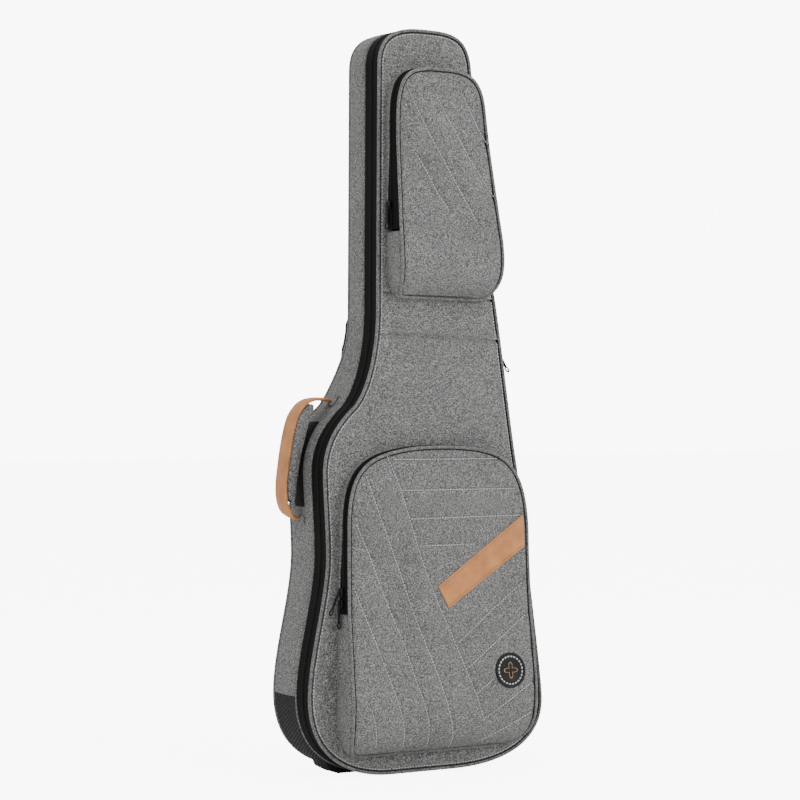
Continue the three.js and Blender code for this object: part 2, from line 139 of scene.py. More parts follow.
def evenly(points, spacing, closed=True):
    """The points of a polyline moved to an even spacing, with the outward normal at each."""
    lengths = np.r_[0, np.cumsum(np.linalg.norm(np.diff(points, axis=0), axis=1))]
    count = max(8, int(round(lengths[-1] / spacing)))
    at = np.linspace(0, lengths[-1], count + 1)
    if closed:
        at = at[:-1]
    even = np.c_[np.interp(at, lengths, points[:, 0]), np.interp(at, lengths, points[:, 1])]
    if closed:
        tangent = np.roll(even, -1, axis=0) - np.roll(even, 1, axis=0)
    else:
        tangent = np.gradient(even, axis=0)
    tangent /= np.linalg.norm(tangent, axis=1)[:, None]
    return even, np.c_[tangent[:, 1], -tangent[:, 0]]


def smooth_step(value, low, high):
    t = np.clip((np.asarray(value, float) - low) / (high - low), 0, 1)
    return t * t * (3 - 2 * t)


def back_y(z):
    """How far back the bag's rear surface is at each height."""
    return BODY_DEPTH + (NECK_DEPTH - BODY_DEPTH) * smooth_step(z, *SLOPE_Z)


def face_y(face, z):
    """A pocket's front face at each height, rounded over where its side profile turns."""
    heights, depths = face
    offsets = np.linspace(-9, 9, 7)
    return np.mean([np.interp(np.asarray(z, float) + o, heights, depths) for o in offsets], axis=0)


# ------------------------------------------------------------------ mesh making
def finish_mesh(name, points, faces, material, smooth=True):
    mesh = bpy.data.meshes.new(name)
    world = np.asarray(points, float) * MM
    world[:, 1] += FRONT_Y * MM
    mesh.from_pydata(world.tolist(), [], faces)
    mesh.validate()
    obj = bpy.data.objects.new(name, mesh)
    bpy.context.scene.collection.objects.link(obj)
    bm = bmesh.new()
    bm.from_mesh(mesh)
    bmesh.ops.remove_doubles(bm, verts=bm.verts, dist=1e-6)
    bmesh.ops.recalc_face_normals(bm, faces=bm.faces)
    bm.to_mesh(mesh)
    bm.free()
    for polygon in mesh.polygons:
        polygon.use_smooth = smooth
    mesh.materials.append(material)
    return obj


def grid_faces(rows, columns, close_rows=False, close_columns=False):
    row_count = rows if close_rows else rows - 1
    column_count = columns if close_columns else columns - 1
    faces = []
    for i in range(row_count):
        for j in range(column_count):
            a = i * columns + j
            b = i * columns + (j + 1) % columns
            c = ((i + 1) % rows) * columns + (j + 1) % columns
            d = ((i + 1) % rows) * columns + j
            faces.append((a, b, c, d))
    return faces


def sweep(name, path, normals, section, material, closed=True):
    """A closed section of (outward, y) pairs carried along an (x, z) path. `section` is a function of
    the step number and the (x, z) point there."""
    rings = []
    for i, (point, normal) in enumerate(zip(path, normals)):
        pairs = section(i, point)
        rings.append([(point[0] + normal[0] * o, y, point[1] + normal[1] * o) for o, y in pairs])
    columns = len(rings[0])
    points = [p for ring in rings for p in ring]
    faces = grid_faces(len(rings), columns, close_rows=closed, close_columns=True)
    if not closed:
        faces.append(tuple(range(columns)))
        faces.append(tuple(len(points) - 1 - k for k in range(columns)))
    return finish_mesh(name, points, faces, material)


def circle(radius, sides=12):
    angles = [2 * math.pi * k / sides for k in range(sides)]
    return [(radius * math.cos(a), radius * math.sin(a)) for a in angles]


def rounded_strip(outer, inner, y0, y1, bulge=0.0, steps=10, edge=0.8):
    """A wall's section: a crowned outer side between two depths, and a flat inner side."""
    pairs = []
    for k in range(steps + 1):
        t = k / steps
        ease = math.sin(math.pi * t) ** 0.5 if 0 < t < 1 else 0.0
        turn = edge * (1 - min(1.0, 6 * min(t, 1 - t)))
        pairs.append((outer - turn + bulge * ease, y0 + (y1 - y0) * t))
    pairs += [(inner, y1), (inner, y0)]
    return pairs


def spans_at(points, z):
    """The lowest and highest x of a closed outline at a height."""
    z0, z1 = points[:-1, 1], points[1:, 1]
    x0, x1 = points[:-1, 0], points[1:, 0]
    crossing = (np.minimum(z0, z1) <= z) & (np.maximum(z0, z1) >= z) & (np.abs(z1 - z0) > 1e-9)
    x = x0[crossing] + (x1 - x0)[crossing] * (z - z0[crossing]) / (z1 - z0)[crossing]
    return x.min(), x.max()


def inset(points, distance, spacing=2.0):
    even, normals = evenly(points, spacing)
    moved = even - normals * distance
    return np.vstack([moved, moved[:1]])


def stretch(points, spacing, keep):
    """The one open run of a closed outline whose points `keep` accepts, and its normals."""
    path, normals = evenly(points, spacing)
    chosen = [i for i in range(len(path)) if keep(path[i])]
    breaks = [k for k in range(1, len(chosen)) if chosen[k] != chosen[k - 1] + 1]
    first = breaks[0] if breaks else 0
    order = chosen[first:] + chosen[:first]
    return path[order], normals[order]


def edge_distance(points, x, z):
    """How far each (x, z) is from an outline."""
    even, _ = evenly(points, 3.0)
    flat = np.c_[np.ravel(x), np.ravel(z)]
    best = np.full(len(flat), 1e9)
    for start in range(0, len(flat), 4000):
        part = flat[start:start + 4000]
        gap = np.linalg.norm(part[:, None, :] - even[None, :, :], axis=2)
        best[start:start + 4000] = gap.min(axis=1)
    return best.reshape(np.shape(x))


def closed_sheet(name, front, rear, material):
    """A closed sheet between two grids of points, each of shape (rows, columns, 3)."""
    rows, columns = front.shape[:2]
    count = rows * columns
    faces = grid_faces(rows, columns)
    rear_faces = [tuple(count + k for k in reversed(face)) for face in faces]
    rim = list(range(columns))
    rim += [i * columns + columns - 1 for i in range(1, rows)]
    rim += [(rows - 1) * columns + j for j in range(columns - 2, -1, -1)]
    rim += [i * columns for i in range(rows - 2, 0, -1)]
    sides = [(a, b, count + b, count + a) for a, b in zip(rim, rim[1:] + rim[:1])]
    points = np.vstack([front.reshape(-1, 3), rear.reshape(-1, 3)])
    return finish_mesh(name, points, faces + rear_faces + sides, material)


def panel(name, points, surface, thickness, spacing, material):
    """A sheet that fills an outline. `surface` gives y over arrays of x, z and the distance to the
    edge; the sheet's other side lies `thickness` behind it (in front of it, if negative)."""
    low, high = points[:, 1].min() + 1e-3, points[:, 1].max() - 1e-3
    rows = int((high - low) / spacing)
    ends = 0.5 - 0.5 * np.cos(np.linspace(0, math.pi, rows + 1))
    heights = low + (high - low) * (0.75 * np.linspace(0, 1, rows + 1) + 0.25 * ends)
    spans = np.array([spans_at(points, z) for z in heights])
    widths = spans[:, 1] - spans[:, 0]
    across = np.linspace(0, 1, int(widths.max() / spacing) + 1)
    x = spans[:, :1] + widths[:, None] * across[None, :]
    z = np.repeat(heights[:, None], len(across), axis=1)
    y = surface(x, z, edge_distance(points, x, z))
    front = np.stack([x, y, z], axis=-1)
    rear = np.stack([x, y + thickness, z], axis=-1)
    return closed_sheet(name, front, rear, material)


def line_distance(x, z, line):
    """How far each (x, z) is from a polyline."""
    best = np.full(np.shape(x), 1e9)
    for (x0, z0), (x1, z1) in zip(line, line[1:]):
        dx, dz = x1 - x0, z1 - z0
        t = np.clip(((x - x0) * dx + (z - z0) * dz) / (dx * dx + dz * dz), 0, 1)
        best = np.minimum(best, np.hypot(x - x0 - t * dx, z - z0 - t * dz))
    return best


STITCH_PROFILE = ((-0.5, 0.25), (-0.36, 0.9), (0.0, 1.0), (0.36, 0.9), (0.5, 0.25))
STITCH_SIDES = 6


def point_at(line, lengths, along):
    return np.array([np.interp(along, lengths, line[:, 0]), np.interp(along, lengths, line[:, 1])])


def stitch_rings(line, lengths, middle, surface, length, radius):
    """The points round one stitch, whose middle is that far along its line."""
    rings = []
    for along, share in STITCH_PROFILE:
        place = middle + along * length
        x, z = point_at(line, lengths, place)
        y = float(surface(x, z)) - 0.25 - 0.35 * share
        step = point_at(line, lengths, place + 1) - (x, z)
        step /= np.linalg.norm(step) + 1e-9
        for out, depth in circle(radius * share, STITCH_SIDES):
            rings.append((x + step[1] * out, y + depth, z - step[0] * out))
    return rings


def stitches(name, lines, surface, material, pitch=4.6, length=3.4, radius=0.62):
    """Thread along (x, z) lines, one small rounded stitch after another, sunk into a surface y(x, z)."""
    points, faces = [], []
    last = (len(STITCH_PROFILE) - 1) * STITCH_SIDES
    stitch_faces = grid_faces(len(STITCH_PROFILE), STITCH_SIDES, False, True)
    stitch_faces.append(tuple(range(STITCH_SIDES)))
    stitch_faces.append(tuple(last + k for k in reversed(range(STITCH_SIDES))))
    for line in lines:
        line = np.asarray(line, float)
        lengths = np.r_[0, np.cumsum(np.linalg.norm(np.diff(line, axis=0), axis=1))]
        for middle in np.arange(pitch / 2, lengths[-1], pitch):
            base = len(points)
            points += stitch_rings(line, lengths, middle, surface, length, radius)
            faces += [tuple(base + k for k in face) for face in stitch_faces]
    return finish_mesh(name, points, faces, material)


# ------------------------------------------------------------------ materials
def new_material(name):
    made = bpy.data.materials.new(name)
    made.use_nodes = True
    tree = made.node_tree
    return made, tree, tree.nodes["Principled BSDF"]


def add(tree, kind, **values):
    node = tree.nodes.new(kind)
    for key, value in values.items():
        if key in node.inputs:
            node.inputs[key].default_value = value
        else:
            setattr(node, key, value)
    return node


def scaled_coordinates(tree, scale):
    where = add(tree, "ShaderNodeTexCoord")
    mapping = add(tree, "ShaderNodeMapping")
    mapping.inputs["Scale"].default_value = scale
    tree.links.new(where.outputs["Object"], mapping.inputs["Vector"])
    return mapping.outputs["Vector"]


def noise_at(tree, scale, detail=2.0, roughness=0.5):
    node = add(tree, "ShaderNodeTexNoise")
    node.inputs["Scale"].default_value = 1.0
    node.inputs["Detail"].default_value = detail
    node.inputs["Roughness"].default_value = roughness
    tree.links.new(scaled_coordinates(tree, scale), node.inputs["Vector"])
    return node.outputs["Fac"]


def math_node(tree, operation, a, b=None):
    node = add(tree, "ShaderNodeMath", operation=operation)
    for slot_index, value in enumerate((a, b)):
        if value is None:
            continue
        if isinstance(value, (int, float)):
            node.inputs[slot_index].default_value = value
        else:
            tree.links.new(value, node.inputs[slot_index])
    return node.outputs[0]


def ramp(tree, factor, stops):
    node = add(tree, "ShaderNodeValToRGB")
    elements = node.color_ramp.elements
    while len(elements) < len(stops):
        elements.new(0.5)
    for element, (position, colour) in zip(elements, stops):
        element.position = position
        element.color = (*colour, 1)
    tree.links.new(factor, node.inputs["Fac"])
    return node.outputs["Color"]


def bump(tree, shader, height, strength, distance):
    node = add(tree, "ShaderNodeBump")
    node.inputs["Strength"].default_value = strength
    node.inputs["Distance"].default_value = distance
    tree.links.new(height, node.inputs["Height"])
    tree.links.new(node.outputs["Normal"], shader.inputs["Normal"])


def weighted(tree, *pairs):
    """The sum of values, each times its weight."""
    total = None
    for value, weight in pairs:
        part = math_node(tree, "MULTIPLY", value, weight)
        total = part if total is None else math_node(tree, "ADD", total, part)
    return total


def varied(tree, value, broad, amount):
    """A value that wanders with a broad noise."""
    swing = math_node(tree, "SUBTRACT", broad, 0.5)
    return math_node(tree, "ADD", value, math_node(tree, "MULTIPLY", swing, amount))


def set_inputs(shader, **values):
    for name, value in values.items():
        shader.inputs[name.replace("_", " ")].default_value = value


def melange(name="melange_cloth", dark=0.018, middle=0.092, light=0.31):
    """Heather canvas: pale and dark yarns crossing, each fleck a millimetre or two long."""
    made, tree, shader = new_material(name)
    upright = noise_at(tree, (1250, 1250, 420), 2.0, 0.6)
    level = noise_at(tree, (420, 420, 1250), 2.0, 0.6)
    fine = noise_at(tree, (1700, 1700, 1700), 1.0)
    mixed = weighted(tree, (upright, 0.4), (level, 0.4), (fine, 0.2))
    toned = varied(tree, mixed, noise_at(tree, (14, 14, 14), 3.0), 0.04)
    stops = (
        (0.40, (dark, dark * 1.01, dark * 1.0)),
        (0.50, (middle, middle * 1.012, middle * 0.985)),
        (0.60, (light, light * 1.01, light * 0.98)),
    )
    tree.links.new(ramp(tree, toned, stops), shader.inputs["Base Color"])
    set_inputs(shader, Roughness=0.93, Sheen_Weight=0.06, Sheen_Roughness=0.6, Specular_IOR_Level=0.2)
    bump(tree, shader, mixed, 0.6, 0.0007)
    return made


def dark_cloth(name, base, thread_scale, roughness=0.85, bump_distance=0.0004, sheen=0.15):
    """A dark weave: fine crossing threads with a little variation in tone."""
    made, tree, shader = new_material(name)
    slow = thread_scale * 0.25
    upright = noise_at(tree, (thread_scale, thread_scale, slow), 1.0)
    level = noise_at(tree, (slow, slow, thread_scale), 1.0)
    weave = math_node(tree, "MAXIMUM", upright, level)
    tone = varied(tree, weave, noise_at(tree, (25, 25, 25), 2.0), 0.3)
    dark = tuple(0.55 * c for c in base)
    light = tuple(1.7 * c for c in base)
    tree.links.new(ramp(tree, tone, ((0.4, dark), (0.6, base), (0.8, light))), shader.inputs["Base Color"])
    set_inputs(shader, Roughness=roughness, Specular_IOR_Level=0.12, Sheen_Weight=sheen)
    bump(tree, shader, weave, 0.5, bump_distance)
    return made


def leather(name="tan_leather"):
    """Suede-like tan leather with soft cloudy tone, fine grain and paler rubbed spots."""
    made, tree, shader = new_material(name)
    cloud = noise_at(tree, (45, 45, 45), 4.0, 0.6)
    grain = noise_at(tree, (1400, 1400, 1400), 3.0)
    tone = weighted(tree, (cloud, 0.7), (grain, 0.3))
    stops = ((0.3, (0.29, 0.105, 0.025)), (0.5, (0.4, 0.155, 0.042)), (0.72, (0.5, 0.215, 0.065)))
    tree.links.new(ramp(tree, tone, stops), shader.inputs["Base Color"])
    worn = math_node(tree, "ADD", math_node(tree, "MULTIPLY", cloud, 0.3), 0.5)
    tree.links.new(worn, shader.inputs["Roughness"])
    set_inputs(shader, Sheen_Weight=0.05)
    bump(tree, shader, grain, 0.4, 0.0003)
    return made


def hard_black(name, base, roughness, metallic, grain_scale, bump_distance):
    """Moulded or plated dark hardware with a fine surface grain."""
    made, tree, shader = new_material(name)
    grain = noise_at(tree, (grain_scale,) * 3, 2.0)
    wear = noise_at(tree, (120, 120, 120), 3.0)
    low = tuple(0.8 * c for c in base)
    high = tuple(1.5 * c for c in base)
    tree.links.new(ramp(tree, wear, ((0.35, low), (0.7, high))), shader.inputs["Base Color"])
    rough = math_node(tree, "ADD", math_node(tree, "MULTIPLY", wear, 0.2), roughness - 0.1)
    tree.links.new(rough, shader.inputs["Roughness"])
    set_inputs(shader, Metallic=metallic, Specular_IOR_Level=0.25)
    bump(tree, shader, grain, 0.3, bump_distance)
    return made


CLOTH = melange()
PIPE_CLOTH = melange("piping_cloth", 0.03, 0.095, 0.25)
THREAD = dark_cloth("stitch_thread", (0.5, 0.505, 0.5), 5000, 0.7, 0.0001)
# painted shade: the near-black of the cords that stand in for the shadow in the gap beside each piping
PAINTED_GAP_SHADE = dark_cloth("piping_gap_shade_black", (0.008, 0.008, 0.008), 5000, 0.8, 0.0001, 0.0)
TAN_THREAD = dark_cloth("tan_thread", (0.33, 0.19, 0.09), 5000, 0.7, 0.0001)
ZIP_TAPE = dark_cloth("zip_tape_cloth", (0.0035, 0.0035, 0.0033), 1800, 0.85, 0.0005, 0.0)
WEBBING = dark_cloth("webbing_cloth", (0.0045, 0.0045, 0.005), 1300, 0.8, 0.0007, 0.02)
LINING = dark_cloth("lining_plush", (0.025, 0.026, 0.028), 2200, 0.95, 0.0006, 0.2)
STRAP_CLOTH = dark_cloth("strap_mesh_cloth", (0.0085, 0.009, 0.01), 1500, 0.9, 0.0008, 0.03)
GUARD_MAT = dark_cloth("guard_mesh_cloth", (0.011, 0.011, 0.011), 1800, 0.45, 0.0003, 0.0)
LEATHER = leather()
RUBBER = hard_black("moulded_rubber", (0.005, 0.005, 0.0052), 0.62, 0.0, 2200, 0.0002)
HARDWARE = hard_black("black_hardware", (0.012, 0.012, 0.013), 0.3, 0.6, 2500, 0.00005)
COIL = hard_black("nylon_coil", (0.0035, 0.0035, 0.0035), 0.75, 0.0, 2600, 0.0001)
PLASTIC = hard_black("moulded_plastic", (0.005, 0.005, 0.0055), 0.42, 0.0, 2600, 0.0001)


# ------------------------------------------------------------------ shared pieces
def riding(obj, body, slot_name, *nodes):
    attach(obj, body)
    return dressed(obj, slot_name, *nodes)


def dressed(obj, slot_name, *nodes):
    if nodes:
        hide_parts(*nodes)
    return obj


def to_frame(x, y, z):
    return (x * MM, (y + FRONT_Y) * MM, z * MM)


def blend_between(obj):
    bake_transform(obj)


def cord(name, points, centre_y, outward=-PIPING_R, radius=PIPING_R, material=PIPE_CLOTH):
    """A round cord that follows an outline, at a depth given over z."""
    path, normals = evenly(points, 3.0)

    def section(_, point):
        return [(outward + o, centre_y(point[1]) + y) for o, y in circle(radius)]

    return sweep(name, path, normals, section, material)


def shade_line_cord(name, points, centre_y):
    """A thin black cord just inside a piping: painted shade, standing in for the shadow in the gap where
    the piping is sewn to the panel inside it.
    """
    return cord(name, points, centre_y, -2 * PIPING_R - 0.5, 0.75, PAINTED_GAP_SHADE)


def zip_half(name, points, tape_span, teeth_y, outward, body, nodes, keep):
    """One side of a zip: a flat tape with rounded edges, and a coil of teeth along one side. The tape
    runs between two depths given over z."""
    path, normals = stretch(points, 4.0, keep)
    y0, y1 = tape_span

    def tape_section(_, point):
        strip = rounded_strip(0.0, -1.4, y0(point[1]), y1(point[1]), 0.0, 8, 0.4)
        return [(outward + o, y) for o, y in strip]

    tape = sweep(name + "_tape", path, normals, tape_section, ZIP_TAPE, closed=False)
    riding(tape, body, "zip_tape", *nodes)

    fine, fine_normals = evenly(path, 0.8, closed=False)

    def coil_section(i, _):
        swell = 0.9 + 0.35 * math.cos(math.pi * i)
        return [(outward + 0.5 + o * swell, teeth_y + y * swell) for o, y in circle(0.95, 6)]

    coil = sweep(name + "_coil", fine, fine_normals, coil_section, COIL, closed=False)
    riding(coil, body, "plastic")


def cad_copy(node, name):
    """A new object with a copy of a CAD node's mesh, to be worked on."""
    obj = bpy.data.objects.new(name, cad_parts[node].data.copy())
    bpy.context.scene.collection.objects.link(obj)
    obj.data.materials.clear()
    return obj


def refined(node, body, material, slot_name, width=0.5, segments=2):
    """A CAD node's own shape with rounded edges, as a piece that stands for the node."""
    obj = cad_copy(node, node + "_finished")
    bm = bmesh.new()
    bm.from_mesh(obj.data)
    bmesh.ops.remove_doubles(bm, verts=bm.verts, dist=1e-5)
    bmesh.ops.dissolve_limit(bm, angle_limit=math.radians(2), verts=bm.verts, edges=bm.edges)
    sharp_angle = math.radians(35)
    sharp = [e for e in bm.edges if len(e.link_faces) == 2 and e.calc_face_angle(0) > sharp_angle]
    bmesh.ops.bevel(bm, geom=sharp, offset=width * MM, segments=segments, profile=0.5,
                    affect="EDGES", clamp_overlap=True)
    bm.to_mesh(obj.data)
    bm.free()
    obj.data.materials.append(material)
    for polygon in obj.data.polygons:
        polygon.material_index = 0
        polygon.use_smooth = True
    obj.data.set_sharp_from_angle(angle=math.radians(40))
    return riding(obj, body, slot_name, node)


def apply_modifiers(obj):
    graph = bpy.context.evaluated_depsgraph_get()
    made = bpy.data.meshes.new_from_object(obj.evaluated_get(graph))
    old = obj.data
    obj.modifiers.clear()
    obj.data = made
    bpy.data.meshes.remove(old)


def press_outwards(obj, pressure, cap):
    """Runs Cloth with pressure inside the mesh, and lets no point move further than the cap."""
    start = np.array([v.co for v in obj.data.vertices])
    cloth = obj.modifiers.new("cloth", "CLOTH")
    settings = cloth.settings
    settings.use_pressure = True
    settings.uniform_pressure_force = pressure
    settings.effector_weights.gravity = 0.0
    settings.quality = 5
    settings.mass = 0.3
    cloth.point_cache.frame_start = 1
    cloth.point_cache.frame_end = CLOTH_FRAMES
    for number in range(1, CLOTH_FRAMES + 1):
        bpy.context.scene.frame_set(number)
    apply_modifiers(obj)
    bpy.context.scene.frame_set(1)
    moved = np.array([v.co for v in obj.data.vertices]) - start
    far = np.linalg.norm(moved, axis=1)
    share = np.minimum(1.0, cap * MM / np.maximum(far, 1e-9))
    for vertex, point in zip(obj.data.vertices, start + moved * share[:, None]):
        vertex.co = point


def stuffed(node, name, voxel, pressure, cap, material):
    """A CAD node's shape swollen like stuffed cloth: remeshed, pressed outwards and smoothed."""
    obj = cad_copy(node, name)
    remesh = obj.modifiers.new("remesh", "REMESH")
    remesh.mode = "VOXEL"
    remesh.voxel_size = voxel * MM
    apply_modifiers(obj)
    press_outwards(obj, pressure, cap)
    smooth = obj.modifiers.new("smooth", "SMOOTH")
    smooth.iterations = 6
    subdivision = obj.modifiers.new("subdivide", "SUBSURF")
    subdivision.levels = 1
    subdivision.render_levels = 1
    apply_modifiers(obj)
    for polygon in obj.data.polygons:
        polygon.use_smooth = True
    obj.data.materials.append(material)
    return obj


# ------------------------------------------------------------------ shell
def build_shell():
    path, normals = evenly(BAG, 5.0)

    def gusset_section(_, point):
        recess = 2.6 * (1 - smooth_step(point[1], GUARD_TOP_Z - 1, GUARD_TOP_Z + 1))
        pucker = 0.5 * noise.noise(Vector((point[0] * 0.02, 0, point[1] * 0.02)))
        y1 = float(back_y(point[1])) - 3.4
        return rounded_strip(-0.4 - recess + pucker, -13.0, ZIP_BACK_Y + 1.6, y1, 0.9, 14, 1.6)

    gusset = sweep("gusset_cloth", path, normals, gusset_section, CLOTH)
    riding(gusset, "shell", "melange_cloth", "side_gusset")

    def binding_section(_, point):
        return [(-1.4 + o, ZIP_BACK_Y + 0.6 + y) for o, y in circle(1.5, 8)]

    binding = sweep("zip_binding_rear", path, normals, binding_section, PIPE_CLOTH)
    riding(binding, "shell", "melange_cloth")

    back_cord = cord("back_piping_cord", BAG, lambda z: float(back_y(z)) - PIPING_R)
    riding(back_cord, "shell", "melange_cloth", "back_piping")


GUARD_STEP = 1.3
GUARD_COLUMNS = 46
DIMPLE_PITCH = 5.2
DIMPLE_ROW = DIMPLE_PITCH * 0.866  # rows of a triangular grid lie closer than its columns


def dimple_depth(along, y):
    """How deep the guard's grid of round dimples is at a place."""
    row = round(y / DIMPLE_ROW)
    offset = DIMPLE_PITCH / 2 if row % 2 else 0.0
    nearest = math.hypot((along + offset) % DIMPLE_PITCH - DIMPLE_PITCH / 2, y - row * DIMPLE_ROW)
    return 1.5 * max(0.0, 1 - (nearest / (DIMPLE_PITCH * 0.40)) ** 2)


def build_guard():
    """The dimpled guard that follows the outline round the bottom."""
    path, normals = stretch(BAG, GUARD_STEP, lambda p: p[1] < GUARD_TOP_Z)

    def guard_section(i, point):
        y0, y1 = ZIP_BACK_Y + 2.4, float(back_y(point[1])) - 6.4
        pairs = []
        for k in range(GUARD_COLUMNS + 1):
            y = y0 + (y1 - y0) * k / GUARD_COLUMNS
            flat = min(1.0, min(k, GUARD_COLUMNS - k) / 2)
            pairs.append((flat - 1.1 - dimple_depth(i * GUARD_STEP, y) * flat, y))
        return pairs + [(-2.4, y1), (-2.4, y0)]

    guard = sweep("dimpled_guard", path, normals, guard_section, GUARD_MAT, closed=False)
    riding(guard, "shell", "mesh_guard", "bottom_guard")


def build_back():
    """The padded back, sewn through along level ribs."""
    ribs = [((-120, z), (120, z)) for z in (150, 210, 270, 330, 390)]

    def surface(x, z, distance):
        y = back_y(z) - 1.2 - 4.0 * np.exp(-np.minimum(distance, INSIDE) / 5.0)
        for rib in ribs:
            y = y - 2.2 * np.exp(-(line_distance(x, z, rib) / 4.0) ** 2)
        return y

    made = panel("back_cloth", inset(BAG, 5.2), surface, -10.0, 4.0, CLOTH)
    riding(made, "shell", "melange_cloth", "back_panel")
    thread = stitches("back_stitches", ribs, lambda x, z: surface(x, z, INSIDE) + 1.3, THREAD)
    riding(thread, "shell", "melange_cloth")


def diamonds(x, z):
    """The height of the linings' diamond quilting, 60 mm from one diamond to the next."""
    rising = np.abs(np.sin((x + z) * math.pi / 60)) ** 0.4
    falling = np.abs(np.sin((x - z) * math.pi / 60)) ** 0.4
    return 1.12 * rising * falling


def build_linings():
    def shell_surface(x, z, _):
        return back_y(z) - 16.4 - diamonds(x, z)

    def lid_lining_surface(x, z, _):
        return 15.4 + diamonds(x, z)

    rear = panel("back_lining_plush", inset(BAG, 15.5), shell_surface, 1.2, 6.0, LINING)
    riding(rear, "shell", "lining", "back_lining")
    front = panel("lid_lining_plush", inset(BAG, 8.5), lid_lining_surface, -1.0, 6.0, LINING)
    riding(front, "lid", "lining", "lid_lining")


def build_inner_pads():
    for node, name in (("neck_rest", "neck_rest_pad"), ("bottom_bumper", "bumper_pad")):
        pad = stuffed(node, name, 5.0, 2.0, 2.0, LINING)
        riding(pad, "shell", "lining", node)


# ------------------------------------------------------------------ lid
PANEL_SEAMS = (
    ((-72, 672.8), (95, 665.5), (109, 663.7)),
    ((-80, 614.2), (119.6, 606.6)),
)


def lid_surface(x, z, distance):
    """The front panel: a slightly crowned pad, pulled in at its edge and along two cross seams."""
    near = np.minimum(distance, INSIDE)
    y = 0.2 + 5.0 * np.exp(-near / 2.0) - 1.4 * (1 - np.exp(-near / 22.0))
    for seam in PANEL_SEAMS:
        gap = line_distance(x, z, seam)
        y = y + 4.4 * np.exp(-(gap / 2.0) ** 2) - 1.1 * np.exp(-((gap - 6.5) / 4.5) ** 2)
    return y


def build_lid():
    made = panel("front_cloth", inset(BAG, 4.2), lid_surface, 11.0, 2.4, CLOTH)
    riding(made, "lid", "melange_cloth", "front_panel")
    edge = cord("front_piping_cord", BAG, lambda z: 1.5)
    riding(edge, "lid", "melange_cloth", "front_piping")
    # painted shade: a black cord inside the front piping, standing in for the shadow in its gap
    riding(shade_line_cord("front_seam_line", BAG, lambda z: 0.9), "lid", "melange_cloth")

    above_seams = [[(x, z + 2.6) for x, z in seam] for seam in PANEL_SEAMS]
    seam_lines = [inset(BAG, 8.0, 4.0), *above_seams]
    thread = stitches("front_stitches", seam_lines, lambda x, z: lid_surface(x, z, 3.0) - 0.1, THREAD)
    riding(thread, "lid", "melange_cloth")


def build_main_zip():
    def above_strip(point):
        return not (-76 < point[0] < 56 and point[1] < 20)

    rear_span = (lambda z: ZIP_MID_Y + 0.4, lambda z: ZIP_BACK_Y)
    zip_half("main_zip_rear", BAG, rear_span, ZIP_MID_Y + 1.2, -1.4, "shell",
             ["main_zip_rear_tape"], above_strip)
    front_span = (lambda z: 2.0, lambda z: ZIP_MID_Y - 0.4)
    zip_half("main_zip_front", BAG, front_span, ZIP_MID_Y - 1.2, -1.4, "lid",
             ["main_zip_front_tape_neck", "main_zip_front_tape_body"], above_strip)


def lower_edge_z(x):
    """How high the bag's lower edge is at an x near the middle."""
    near = BAG[BAG[:, 1] < 60]
    order = np.argsort(near[:, 0])
    return np.interp(x, near[order, 0], near[order, 1])


def build_hinge_strip():
    """The cloth strip that joins lid and shell where the zip leaves off."""
    x, y = np.meshgrid(np.linspace(-70, 50, 41), np.linspace(5.4, 35.0, 31))
    crease = 0.5 * np.exp(-((y - ZIP_MID_Y) / 2.5) ** 2)
    under, over = (np.stack([x, y, lower_edge_z(x) + level + crease], axis=-1) for level in (0.9, 3.2))
    strip = closed_sheet("hinge_strip_cloth", under, over, WEBBING)
    dressed(strip, "webbing", "hinge_strip")
    blend_between(strip)


# ------------------------------------------------------------------ pockets
Pocket = namedtuple("Pocket", "prefix outline face lines fold_z flap fold_y")

def quilt_lower():
    """The sewn lines on the lower pocket, as (x, z) polylines."""
    border = [(-84, 446), (-62, 400), (-36, 323), (-14, 264), (10, 210), (26, 170), (42, 130), (64, 74)]
    slanted = [
        [(-117, 418), (-99, 372), (-66, 290), (-33, 198), (-13, 146), (16, 58), (22, 34)],
        [(-133, 352), (-112, 308), (-90, 252), (-63, 188), (-46, 132), (-29, 84), (-18, 35)],
        [(-138, 266), (-114, 208), (-88, 136), (-70, 84), (-57, 35)],
        [(-117, 92), (-103, 42)],
    ]
    level = [
        [(-72, 440), (98, 439)],
        [(-60, 397), (127, 396)],
        [(-46, 357), (137, 358)],
        [(-31, 319), (62, 319)],
    ]
    rising = [
        [(26, 182), (139, 262)],
        [(40, 147), (142, 216)],
        [(51, 110), (78, 128)],
        [(134, 160), (145, 168)],
        [(62, 72), (146, 122)],
        [(70, 42), (144, 79)],
    ]
    return [border, *slanted, *level, *rising]


def quilt_upper():
    return [
        [(-52, 954), (-36, 924), (-18, 893), (2, 862), (22, 828), (38, 802), (58, 770)],
        [(-8, 950), (10, 920), (30, 890), (50, 858), (70, 830), (88, 806)],
        [(34, 956), (48, 930), (64, 902), (80, 880)],
        [(-42, 866), (-24, 840), (-6, 808), (10, 788)],
    ]


def pocket_surface(shape, face, lines):
    """A quilted pocket front: it follows the side profile, crowned inside the piping, pulled in
    along the sewn lines and puffed between them."""

    def surface(x, z, distance):
        near = np.minimum(distance, INSIDE)
        y = face_y(face, z) + 4.2 * np.exp(-near / 2.0)
        y = y - 1.8 * (1 - np.exp(-near / 18.0))
        nearest = np.full(np.shape(x), 1e3)
        for line in lines:
            nearest = np.minimum(nearest, line_distance(x, z, line))
        return y + 1.9 * np.exp(-(nearest / 2.2) ** 2) + 1.2 * np.exp(-(nearest / 7.0) ** 2)

    return surface


def folding(pocket, obj, *nodes):
    """A cloth piece of the pocket's front: its CAD nodes are hidden and its transform is baked into its
    mesh.
    """
    dressed(obj, "melange_cloth", *nodes)
    blend_between(obj)


